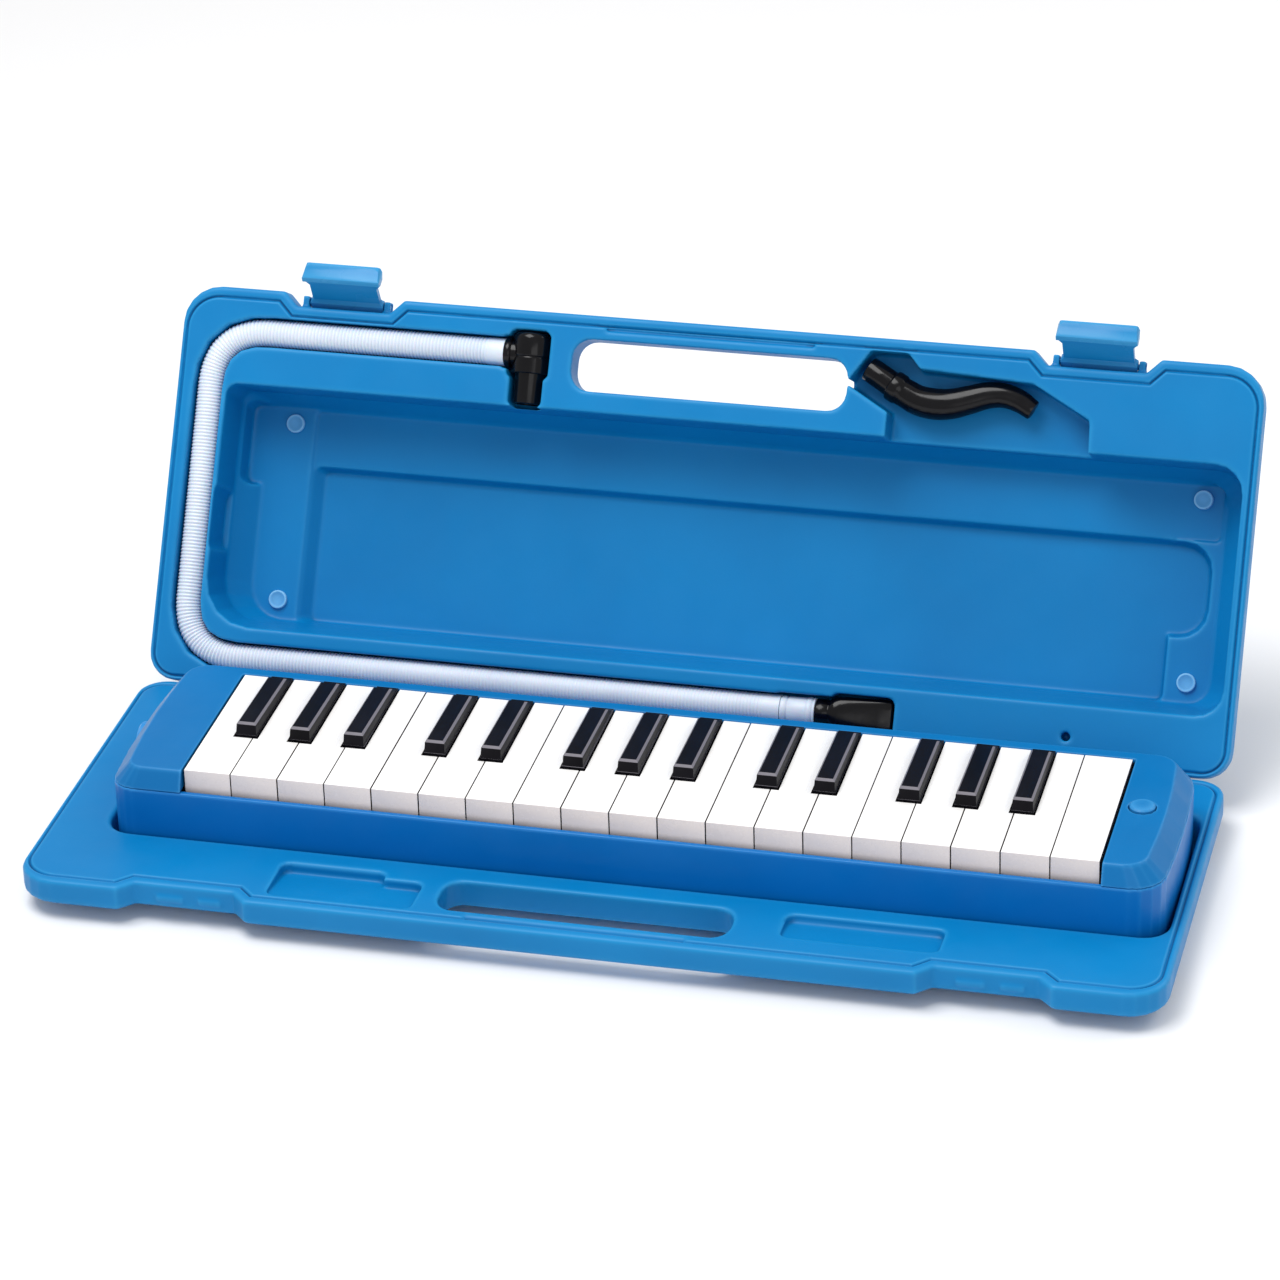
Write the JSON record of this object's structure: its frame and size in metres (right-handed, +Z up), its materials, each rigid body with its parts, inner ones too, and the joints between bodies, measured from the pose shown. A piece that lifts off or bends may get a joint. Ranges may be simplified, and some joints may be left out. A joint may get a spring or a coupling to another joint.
{
  "type": "melodica",
  "caption": "Keyboard wind instrument lying in its open hinged carrying case, with sprung keys, a drain button, and a blowing hose and short mouthpiece stored in the lid",
  "frame": {"origin": "middle of the overall bounding box in X and Y, on the plane the case stands on", "axes": "+X along the keyboard towards the high notes, +Y from the player's side to the case hinge, +Z up"},
  "size_m": [0.464, 0.27, 0.1775],
  "materials": {
    "case_plastic": "blow-moulded, soft sheen",
    "latch_plastic": "injection-moulded, smooth",
    "body_plastic": "moulded, semi-gloss",
    "cover_plastic": "moulded, semi-gloss",
    "pad_plastic": "soft pale discs",
    "inner_plastic": "plain moulding",
    "gasket_rubber": "closed-cell sheet",
    "reed_brass": "rolled plate",
    "steel": "bright wire and strip",
    "felt": "pressed felt",
    "fitting_plastic": "polished",
    "hose_plastic": "soft corrugated tube",
    "white_key_plastic": "polished",
    "black_key_plastic": "polished"
  },
  "bodies": {
    "case_base": {"case_base": "case_plastic", "hinge_pin_left": "steel", "hinge_pin_right": "steel"},
    "case_lid": {"case_lid": "case_plastic", "lid_pad_far_left": "pad_plastic", "lid_pad_near_left": "pad_plastic", "lid_pad_far_right": "pad_plastic", "lid_pad_near_right": "pad_plastic"},
    "latch_left": {"latch_left": "latch_plastic"},
    "latch_right": {"latch_right": "latch_plastic"},
    "instrument": {"lower_case": "body_plastic", "upper_case": "cover_plastic", "air_chamber": "inner_plastic", "reed_block": "inner_plastic", "chamber_gasket": "gasket_rubber", "reed_plate_low": "reed_brass", "reed_plate_high": "reed_brass", "key_axle": "steel", "key_spring_comb": "steel", "key_stop_felt": "felt", "drain_spring": "steel", "inlet_socket": "body_plastic"},
    "hose_set": {"hose": "hose_plastic", "hose_cuff": "hose_plastic", "elbow_connector": "fitting_plastic", "hose_mouthpiece": "fitting_plastic"},
    "short_mouthpiece": {"short_mouthpiece": "fitting_plastic"},
    "drain_button": {"drain_button": "cover_plastic"},
    "key_f3": {"key_f3": "white_key_plastic"},
    "key_f_sharp3": {"key_f_sharp3": "black_key_plastic"},
    "key_g3": {"key_g3": "white_key_plastic"},
    "key_g_sharp3": {"key_g_sharp3": "black_key_plastic"},
    "key_a3": {"key_a3": "white_key_plastic"},
    "key_a_sharp3": {"key_a_sharp3": "black_key_plastic"},
    "key_b3": {"key_b3": "white_key_plastic"},
    "key_c4": {"key_c4": "white_key_plastic"},
    "key_c_sharp4": {"key_c_sharp4": "black_key_plastic"},
    "key_d4": {"key_d4": "white_key_plastic"},
    "key_d_sharp4": {"key_d_sharp4": "black_key_plastic"},
    "key_e4": {"key_e4": "white_key_plastic"},
    "key_f4": {"key_f4": "white_key_plastic"},
    "key_f_sharp4": {"key_f_sharp4": "black_key_plastic"},
    "key_g4": {"key_g4": "white_key_plastic"},
    "key_g_sharp4": {"key_g_sharp4": "black_key_plastic"},
    "key_a4": {"key_a4": "white_key_plastic"},
    "key_a_sharp4": {"key_a_sharp4": "black_key_plastic"},
    "key_b4": {"key_b4": "white_key_plastic"},
    "key_c5": {"key_c5": "white_key_plastic"},
    "key_c_sharp5": {"key_c_sharp5": "black_key_plastic"},
    "key_d5": {"key_d5": "white_key_plastic"},
    "key_d_sharp5": {"key_d_sharp5": "black_key_plastic"},
    "key_e5": {"key_e5": "white_key_plastic"},
    "key_f5": {"key_f5": "white_key_plastic"},
    "key_f_sharp5": {"key_f_sharp5": "black_key_plastic"},
    "key_g5": {"key_g5": "white_key_plastic"},
    "key_g_sharp5": {"key_g_sharp5": "black_key_plastic"},
    "key_a5": {"key_a5": "white_key_plastic"},
    "key_a_sharp5": {"key_a_sharp5": "black_key_plastic"},
    "key_b5": {"key_b5": "white_key_plastic"},
    "key_c6": {"key_c6": "white_key_plastic"}
  },
  "joints": [
    {"name": "lid_hinge", "type": "hinge", "parent": "case_base", "child": "case_lid", "pos_m": [0.00175, 0.03475, 0.0179], "axis": [-1, 0, 0], "range_deg": [-120.8, 0]},
    {"name": "latch_left_hinge", "type": "hinge", "parent": "case_lid", "child": "latch_left", "pos_m": [-0.1617, 0.12687, 0.15682], "axis": [1, 0, 0], "range_deg": [-45, 35]},
    {"name": "latch_right_hinge", "type": "hinge", "parent": "case_lid", "child": "latch_right", "pos_m": [0.162, 0.12687, 0.15682], "axis": [1, 0, 0], "range_deg": [-45, 35]},
    {"name": "instrument_lift", "type": "slide", "parent": "case_base", "child": "instrument", "axis": [0, 0, 1], "range_m": [0, 0.06]},
    {"name": "hose_lift", "type": "slide", "parent": "case_lid", "child": "hose_set", "axis": [0, -0.859, 0.512], "range_m": [0, 0.02]},
    {"name": "short_mouthpiece_lift", "type": "slide", "parent": "case_lid", "child": "short_mouthpiece", "axis": [0, -0.859, 0.512], "range_m": [0, 0.02]},
    {"name": "drain_button_press", "type": "slide", "parent": "instrument", "child": "drain_button", "axis": [0, 0, -1], "range_m": [0, 0.0025], "stiffness_N_per_m": 150, "springref_m": -0.004, "deforming": ["drain_spring"]},
    {"name": "key_f3_press", "type": "hinge", "parent": "instrument", "child": "key_f3", "pos_m": [0.0127, -0.01445, 0.0334], "axis": [1, 0, 0], "range_deg": [0, 3.6], "stiffness_Nm_per_rad": 0.3, "springref_deg": -8.59},
    {"name": "key_f_sharp3_press", "type": "hinge", "parent": "instrument", "child": "key_f_sharp3", "pos_m": [0.0127, -0.01445, 0.0334], "axis": [1, 0, 0], "range_deg": [0, 3.6], "stiffness_Nm_per_rad": 0.3, "springref_deg": -8.59},
    {"name": "key_g3_press", "type": "hinge", "parent": "instrument", "child": "key_g3", "pos_m": [0.0127, -0.01445, 0.0334], "axis": [1, 0, 0], "range_deg": [0, 3.6], "stiffness_Nm_per_rad": 0.3, "springref_deg": -8.59},
    {"name": "key_g_sharp3_press", "type": "hinge", "parent": "instrument", "child": "key_g_sharp3", "pos_m": [0.0127, -0.01445, 0.0334], "axis": [1, 0, 0], "range_deg": [0, 3.6], "stiffness_Nm_per_rad": 0.3, "springref_deg": -8.59},
    {"name": "key_a3_press", "type": "hinge", "parent": "instrument", "child": "key_a3", "pos_m": [0.0127, -0.01445, 0.0334], "axis": [1, 0, 0], "range_deg": [0, 3.6], "stiffness_Nm_per_rad": 0.3, "springref_deg": -8.59},
    {"name": "key_a_sharp3_press", "type": "hinge", "parent": "instrument", "child": "key_a_sharp3", "pos_m": [0.0127, -0.01445, 0.0334], "axis": [1, 0, 0], "range_deg": [0, 3.6], "stiffness_Nm_per_rad": 0.3, "springref_deg": -8.59},
    {"name": "key_b3_press", "type": "hinge", "parent": "instrument", "child": "key_b3", "pos_m": [0.0127, -0.01445, 0.0334], "axis": [1, 0, 0], "range_deg": [0, 3.6], "stiffness_Nm_per_rad": 0.3, "springref_deg": -8.59},
    {"name": "key_c4_press", "type": "hinge", "parent": "instrument", "child": "key_c4", "pos_m": [0.0127, -0.01445, 0.0334], "axis": [1, 0, 0], "range_deg": [0, 3.6], "stiffness_Nm_per_rad": 0.3, "springref_deg": -8.59},
    {"name": "key_c_sharp4_press", "type": "hinge", "parent": "instrument", "child": "key_c_sharp4", "pos_m": [0.0127, -0.01445, 0.0334], "axis": [1, 0, 0], "range_deg": [0, 3.6], "stiffness_Nm_per_rad": 0.3, "springref_deg": -8.59},
    {"name": "key_d4_press", "type": "hinge", "parent": "instrument", "child": "key_d4", "pos_m": [0.0127, -0.01445, 0.0334], "axis": [1, 0, 0], "range_deg": [0, 3.6], "stiffness_Nm_per_rad": 0.3, "springref_deg": -8.59},
    {"name": "key_d_sharp4_press", "type": "hinge", "parent": "instrument", "child": "key_d_sharp4", "pos_m": [0.0127, -0.01445, 0.0334], "axis": [1, 0, 0], "range_deg": [0, 3.6], "stiffness_Nm_per_rad": 0.3, "springref_deg": -8.59},
    {"name": "key_e4_press", "type": "hinge", "parent": "instrument", "child": "key_e4", "pos_m": [0.0127, -0.01445, 0.0334], "axis": [1, 0, 0], "range_deg": [0, 3.6], "stiffness_Nm_per_rad": 0.3, "springref_deg": -8.59},
    {"name": "key_f4_press", "type": "hinge", "parent": "instrument", "child": "key_f4", "pos_m": [0.0127, -0.01445, 0.0334], "axis": [1, 0, 0], "range_deg": [0, 3.6], "stiffness_Nm_per_rad": 0.3, "springref_deg": -8.59},
    {"name": "key_f_sharp4_press", "type": "hinge", "parent": "instrument", "child": "key_f_sharp4", "pos_m": [0.0127, -0.01445, 0.0334], "axis": [1, 0, 0], "range_deg": [0, 3.6], "stiffness_Nm_per_rad": 0.3, "springref_deg": -8.59},
    {"name": "key_g4_press", "type": "hinge", "parent": "instrument", "child": "key_g4", "pos_m": [0.0127, -0.01445, 0.0334], "axis": [1, 0, 0], "range_deg": [0, 3.6], "stiffness_Nm_per_rad": 0.3, "springref_deg": -8.59},
    {"name": "key_g_sharp4_press", "type": "hinge", "parent": "instrument", "child": "key_g_sharp4", "pos_m": [0.0127, -0.01445, 0.0334], "axis": [1, 0, 0], "range_deg": [0, 3.6], "stiffness_Nm_per_rad": 0.3, "springref_deg": -8.59},
    {"name": "key_a4_press", "type": "hinge", "parent": "instrument", "child": "key_a4", "pos_m": [0.0127, -0.01445, 0.0334], "axis": [1, 0, 0], "range_deg": [0, 3.6], "stiffness_Nm_per_rad": 0.3, "springref_deg": -8.59},
    {"name": "key_a_sharp4_press", "type": "hinge", "parent": "instrument", "child": "key_a_sharp4", "pos_m": [0.0127, -0.01445, 0.0334], "axis": [1, 0, 0], "range_deg": [0, 3.6], "stiffness_Nm_per_rad": 0.3, "springref_deg": -8.59},
    {"name": "key_b4_press", "type": "hinge", "parent": "instrument", "child": "key_b4", "pos_m": [0.0127, -0.01445, 0.0334], "axis": [1, 0, 0], "range_deg": [0, 3.6], "stiffness_Nm_per_rad": 0.3, "springref_deg": -8.59},
    {"name": "key_c5_press", "type": "hinge", "parent": "instrument", "child": "key_c5", "pos_m": [0.0127, -0.01445, 0.0334], "axis": [1, 0, 0], "range_deg": [0, 3.6], "stiffness_Nm_per_rad": 0.3, "springref_deg": -8.59},
    {"name": "key_c_sharp5_press", "type": "hinge", "parent": "instrument", "child": "key_c_sharp5", "pos_m": [0.0127, -0.01445, 0.0334], "axis": [1, 0, 0], "range_deg": [0, 3.6], "stiffness_Nm_per_rad": 0.3, "springref_deg": -8.59},
    {"name": "key_d5_press", "type": "hinge", "parent": "instrument", "child": "key_d5", "pos_m": [0.0127, -0.01445, 0.0334], "axis": [1, 0, 0], "range_deg": [0, 3.6], "stiffness_Nm_per_rad": 0.3, "springref_deg": -8.59},
    {"name": "key_d_sharp5_press", "type": "hinge", "parent": "instrument", "child": "key_d_sharp5", "pos_m": [0.0127, -0.01445, 0.0334], "axis": [1, 0, 0], "range_deg": [0, 3.6], "stiffness_Nm_per_rad": 0.3, "springref_deg": -8.59},
    {"name": "key_e5_press", "type": "hinge", "parent": "instrument", "child": "key_e5", "pos_m": [0.0127, -0.01445, 0.0334], "axis": [1, 0, 0], "range_deg": [0, 3.6], "stiffness_Nm_per_rad": 0.3, "springref_deg": -8.59},
    {"name": "key_f5_press", "type": "hinge", "parent": "instrument", "child": "key_f5", "pos_m": [0.0127, -0.01445, 0.0334], "axis": [1, 0, 0], "range_deg": [0, 3.6], "stiffness_Nm_per_rad": 0.3, "springref_deg": -8.59},
    {"name": "key_f_sharp5_press", "type": "hinge", "parent": "instrument", "child": "key_f_sharp5", "pos_m": [0.0127, -0.01445, 0.0334], "axis": [1, 0, 0], "range_deg": [0, 3.6], "stiffness_Nm_per_rad": 0.3, "springref_deg": -8.59},
    {"name": "key_g5_press", "type": "hinge", "parent": "instrument", "child": "key_g5", "pos_m": [0.0127, -0.01445, 0.0334], "axis": [1, 0, 0], "range_deg": [0, 3.6], "stiffness_Nm_per_rad": 0.3, "springref_deg": -8.59},
    {"name": "key_g_sharp5_press", "type": "hinge", "parent": "instrument", "child": "key_g_sharp5", "pos_m": [0.0127, -0.01445, 0.0334], "axis": [1, 0, 0], "range_deg": [0, 3.6], "stiffness_Nm_per_rad": 0.3, "springref_deg": -8.59},
    {"name": "key_a5_press", "type": "hinge", "parent": "instrument", "child": "key_a5", "pos_m": [0.0127, -0.01445, 0.0334], "axis": [1, 0, 0], "range_deg": [0, 3.6], "stiffness_Nm_per_rad": 0.3, "springref_deg": -8.59},
    {"name": "key_a_sharp5_press", "type": "hinge", "parent": "instrument", "child": "key_a_sharp5", "pos_m": [0.0127, -0.01445, 0.0334], "axis": [1, 0, 0], "range_deg": [0, 3.6], "stiffness_Nm_per_rad": 0.3, "springref_deg": -8.59},
    {"name": "key_b5_press", "type": "hinge", "parent": "instrument", "child": "key_b5", "pos_m": [0.0127, -0.01445, 0.0334], "axis": [1, 0, 0], "range_deg": [0, 3.6], "stiffness_Nm_per_rad": 0.3, "springref_deg": -8.59},
    {"name": "key_c6_press", "type": "hinge", "parent": "instrument", "child": "key_c6", "pos_m": [0.0127, -0.01445, 0.0334], "axis": [1, 0, 0], "range_deg": [0, 3.6], "stiffness_Nm_per_rad": 0.3, "springref_deg": -8.59}
  ]
}
